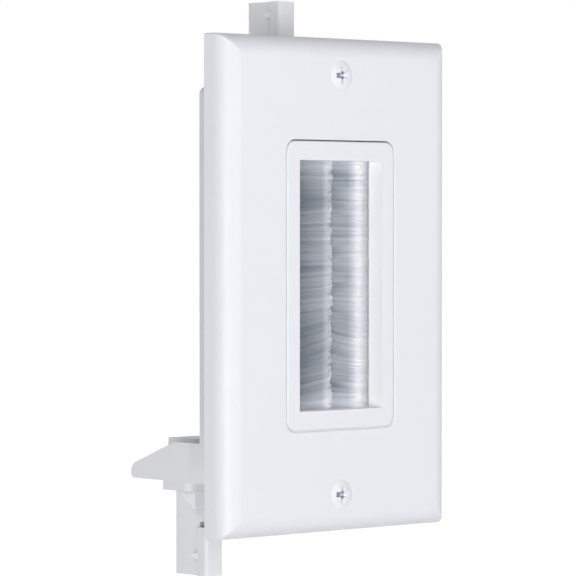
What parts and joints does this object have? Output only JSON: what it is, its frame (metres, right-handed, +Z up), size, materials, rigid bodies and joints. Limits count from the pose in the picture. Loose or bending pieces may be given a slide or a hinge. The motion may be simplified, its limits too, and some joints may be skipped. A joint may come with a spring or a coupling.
{
  "type": "brush wall plate",
  "caption": "Single-gang wall plate with a recessed brush window for cables, on a bracket whose corner wings clamp it to a hollow wall.",
  "frame": {"origin": "centre of the wall cut-out, in the plane of the wall's face, where the plate's back rim and the bracket's flange rest", "axes": "+Y into the wall, +Z up, +X to the right seen from the room"},
  "size_m": [0.0698, 0.0453, 0.1366],
  "materials": {
    "plate_plastic": "white, moulded, soft gloss",
    "insert_plastic": "white, moulded, soft gloss",
    "bracket_plastic": "white, moulded, satin",
    "painted_screw": "white paint with a bare zinc cross recess",
    "zinc_steel": "bright zinc plate",
    "channel_metal": "mill",
    "bush_brass": "turned",
    "bristle_nylon": "fine silver-grey filaments"
  },
  "bodies": {
    "fixed": {"wall_plate": "plate_plastic", "upper_plate_screw": "painted_screw", "lower_plate_screw": "painted_screw", "brush_frame": "insert_plastic", "brush_retainer": "insert_plastic", "retainer_screws": "zinc_steel", "left_brush_channel": "channel_metal", "right_brush_channel": "channel_metal", "left_core_wire": "zinc_steel", "right_core_wire": "zinc_steel", "left_bristles": "bristle_nylon", "right_bristles": "bristle_nylon", "upper_strap_screw": "zinc_steel", "lower_strap_screw": "zinc_steel", "mounting_bracket": "bracket_plastic"},
    "lower_screw": {"lower_clamp_screw": "zinc_steel"},
    "lower_bush": {"lower_clamp_bush": "bush_brass"},
    "lower_wing": {"lower_clamp_wing": "bracket_plastic"},
    "upper_screw": {"upper_clamp_screw": "zinc_steel"},
    "upper_bush": {"upper_clamp_bush": "bush_brass"},
    "upper_wing": {"upper_clamp_wing": "bracket_plastic"}
  },
  "joints": [
    {"name": "lower_screw_turn", "type": "hinge", "parent": "fixed", "child": "lower_screw", "pos_m": [-0.014, 0, -0.0402], "axis": [0, 1, 0], "range_deg": [0, 5443]},
    {"name": "lower_bush_travel", "type": "slide", "parent": "fixed", "child": "lower_bush", "axis": [0, -1, 0], "range_m": [0, 0.012]},
    {"name": "lower_wing_swing", "type": "hinge", "parent": "lower_bush", "child": "lower_wing", "pos_m": [-0.014, 0, -0.0402], "axis": [0, -1, 0], "range_deg": [0, 90]},
    {"name": "upper_screw_turn", "type": "hinge", "parent": "fixed", "child": "upper_screw", "pos_m": [0.014, 0, 0.0402], "axis": [0, 1, 0], "range_deg": [0, 5443]},
    {"name": "upper_bush_travel", "type": "slide", "parent": "fixed", "child": "upper_bush", "axis": [0, -1, 0], "range_m": [0, 0.012]},
    {"name": "upper_wing_swing", "type": "hinge", "parent": "upper_bush", "child": "upper_wing", "pos_m": [0.014, 0, 0.0402], "axis": [0, -1, 0], "range_deg": [0, 90]}
  ],
  "couplings": [
    {"joint": "lower_screw_turn", "follows": "lower_bush_travel", "rad_per_m": 7915.8},
    {"joint": "upper_screw_turn", "follows": "upper_bush_travel", "rad_per_m": 7915.8}
  ]
}
